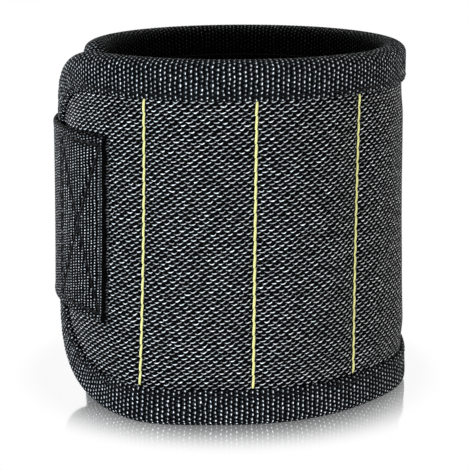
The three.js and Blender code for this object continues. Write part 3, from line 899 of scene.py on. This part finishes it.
def sew_box_line(number, start, end):
    count = max(2, round((strap_flat(*end) - strap_flat(*start)).length / BOX_STITCH_PITCH))
    path = []
    for angle, height in zip(evenly(start[0], end[0], count), evenly(start[1], end[1], count)):
        face = strap_radius(angle) + STRAP_THICKNESS + BOX_STITCH_BED
        path.append((round_axis(face, angle, STRAP_MIDDLE + height), outward(angle)))
    row = stitch_row(f"strap_box_stitches_{number + 1}", path, *BOX_STITCHES, BLACK_THREAD, "strap_webbing")
    bend_with(row, 0)


for number, (start, end) in enumerate(BOX_LINES):
    sew_box_line(number, start, end)


# Hook tape under the strap's tip, and loop pile on the tail

def patch(name, angles, inner_at, thickness, middle, half, finish):
    """A flat patch with softened edges, laid round the band. Its fibre stands on both sides."""
    rings = []
    for angle in angles:
        inner = inner_at(angle)
        run = math.radians(angle) * LOOP_RADIUS
        to_end = math.radians(min(angle - angles[0], angles[-1] - angle)) * LOOP_RADIUS
        end_share = PATCH_END_SHARE + (1 - PATCH_END_SHARE) * ease(to_end / PATCH_EDGE)
        ring = []
        for height in evenly(-half, half, PATCH_ROWS):
            share = ease((half - abs(height)) / PATCH_EDGE) * end_share
            face = inner + thickness * (PATCH_EDGE_SHARE + (1 - PATCH_EDGE_SHARE) * share)
            ring.append((round_axis(face, angle, middle + height), (run, height, OPEN)))
        for height in evenly(half, -half, PATCH_BACK_ROWS):
            ring.append((round_axis(inner, angle, middle + height), (run, height, OPEN)))
        rings.append(ring)
    return loft(name, rings, finish)


def loop_inner(angle):
    return loop_radius(angle) + LOOP_BED


def hook_inner(angle):
    return loop_radius(angle + FULL_TURN) + HOOK_BED


pile_parting = STRETCHES[LAST][0]
loop_start = TAIL_SEAM + math.degrees(LOOP_MARGIN / LOOP_RADIUS)
loop_end = INNER_END - math.degrees((TAPE_WIDTH + LOOP_MARGIN) / LOOP_RADIUS)
for name, start, end, stretch, replaced in (
    ("loop_pile_tail", loop_start, pile_parting, LAST - 1, "tail_loop"),
    ("loop_pile_inner_end", pile_parting, loop_end, LAST, "inner_end_loop"),
):
    pile = patch(name, spread(start, end, PATCH_STEP), loop_inner, LOOP_PILE, HALF_HEIGHT, LOOP_WIDTH / 2,
                 LOOP_FIBRE)
    bend_with(pile, stretch)
    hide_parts(replaced)

hook_start = STRAP_TIP + math.degrees(HOOK_MARGIN / LOOP_RADIUS) + HOOK_SETBACK
hook = patch("hook_tape", spread(hook_start, STRAP_FOLD, PATCH_STEP), hook_inner, HOOK_THICKNESS,
             STRAP_MIDDLE, STRAP_WIDTH / 2 - HOOK_MARGIN, HOOK_FIBRE)
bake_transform(hook)
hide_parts("strap_hook")


# The magnets

for name, magnet in frame["nodes"].items():
    if name.startswith("magnet_"):
        magnet.data.materials.clear()
        magnet.data.materials.append(NICKEL_PLATE)


# The studio: a pale floor, soft light and the camera

FLOOR_REACH = 3000.0
# Distances from the loop's middle over which the card's shade and its polish fade out, and how strong they
# are under the band.
SHADE_FROM, SHADE_TO, SHADE = 44.0, 60.0, 0.3
POLISH_FROM, POLISH_TO, POLISH = 43.0, 65.0, 0.8
WORLD_LIGHT = 0.05
CAMERA_PLACE = Vector((0.981, -392.73, 132.75))
CAMERA_DIP = 13.64


def clear_rays(tree):
    """The rays that meet the white background itself: straight from the eye, or off or through a piece."""
    path = node(tree, "LightPath").outputs
    direct = node(tree, "Math", {"operation": "MAXIMUM"},
                  {0: path["Is Camera Ray"], 1: path["Is Glossy Ray"]}).outputs[0]
    return node(tree, "Math", {"operation": "MAXIMUM"},
                {0: direct, 1: path["Is Transmission Ray"]}).outputs[0]


def white_card():
    """White card, polished round the band's foot, so that the foot is mirrored there and fades away."""
    finish, tree, surface = start_finish("coated_white_card")
    wire(tree, surface, {"Base Color": to_linear("#f4f4f4"), "Roughness": 0.9, "Specular IOR Level": 0.0})
    place = node(tree, "NewGeometry").outputs["Position"]
    away = node(tree, "VectorMath", {"operation": "LENGTH"}, {0: place}).outputs["Value"]
    clear = node(tree, "MapRange", SMOOTH,
                 {"Value": away, "From Min": SHADE_FROM * MM, "From Max": SHADE_TO * MM,
                  "To Min": 1 - SHADE, "To Max": 1.0}).outputs[0]
    bright = node(tree, "Math", {"operation": "MULTIPLY"}, {0: clear_rays(tree), 1: clear}).outputs[0]
    white = node(tree, "Emission", None, {"Color": WHITE, "Strength": 1.0}).outputs[0]
    card = node(tree, "MixShader", None, {0: bright, 1: surface.outputs[0], 2: white}).outputs[0]
    polish = node(tree, "MapRange", SMOOTH,
                  {"Value": away, "From Min": POLISH_FROM * MM, "From Max": POLISH_TO * MM,
                   "To Min": POLISH, "To Max": 0.0}).outputs[0]
    mirror = node(tree, "BsdfAnisotropic", None, {"Color": WHITE, "Roughness": 0.09}).outputs[0]
    mixed = node(tree, "MixShader", None, {0: polish, 1: card, 2: mirror}).outputs[0]
    wire(tree, tree.nodes["Material Output"], {"Surface": mixed})
    return finish


def lay_floor():
    reach = FLOOR_REACH * MM
    corners = [(-reach, -reach, 0), (reach, -reach, 0), (reach, reach, 0), (-reach, reach, 0)]
    mesh = bpy.data.meshes.new("studio_floor")
    mesh.from_pydata(corners, [], [(0, 1, 2, 3)])
    mesh.materials.append(white_card())
    floor = bpy.data.objects.new("studio_floor", mesh)
    bpy.context.scene.collection.objects.link(floor)


def light_world():
    world = bpy.context.scene.world or bpy.data.worlds.new("studio")
    bpy.context.scene.world = world
    world.use_nodes = True
    tree = world.node_tree
    tree.nodes.clear()
    strength = node(tree, "MapRange", None,
                    {"Value": clear_rays(tree), "To Min": WORLD_LIGHT, "To Max": 1.0}).outputs[0]
    sky = node(tree, "Background", None, {"Color": WHITE, "Strength": strength}).outputs[0]
    node(tree, "OutputWorld", None, {"Surface": sky})


def hang_softbox(name, place, size, power, colour):
    """A soft lamp at a place in metres, facing the middle of the band."""
    lamp = bpy.data.lights.new(name, "AREA")
    lamp.shape = "RECTANGLE"
    lamp.size, lamp.size_y = size
    lamp.energy = power
    lamp.color = to_linear(colour)[:3]
    softbox = bpy.data.objects.new(name, lamp)
    softbox.location = place
    to_band = Vector((0, 0, HALF_HEIGHT * MM)) - Vector(place)
    softbox.rotation_euler = to_band.to_track_quat("-Z", "Y").to_euler()
    bpy.context.scene.collection.objects.link(softbox)


def place_camera():
    camera = bpy.data.cameras.new("camera")
    camera.lens = 114.57
    camera.sensor_width = 36.0
    view = bpy.data.objects.new("camera", camera)
    view.location = (AXIS + CAMERA_PLACE) * MM
    view.rotation_euler = (math.radians(90 - CAMERA_DIP), 0, 0)
    bpy.context.scene.collection.objects.link(view)
    bpy.context.scene.camera = view


lay_floor()
light_world()
# Low softboxes stand all round, so that the band's own wall keeps the inside dark.
hang_softbox("key_softbox", (-0.6, -0.8, 0.06), (0.6, 0.1), 12.0, "#e6f0ff")
hang_softbox("fill_softbox", (0.65, -0.75, 0.06), (0.6, 0.1), 5.4, "#ffffff")
hang_softbox("back_left_softbox", (-0.7, 0.7, 0.06), (0.6, 0.1), 5.0, "#ffffff")
hang_softbox("back_right_softbox", (0.7, 0.7, 0.06), (0.6, 0.1), 2.0, "#ffffff")
hang_softbox("top_softbox", (0.0, 0.0, 1.1), (0.5, 0.5), 3.8, "#ffffff")
place_camera()
bpy.context.scene.view_settings.view_transform = "Standard"
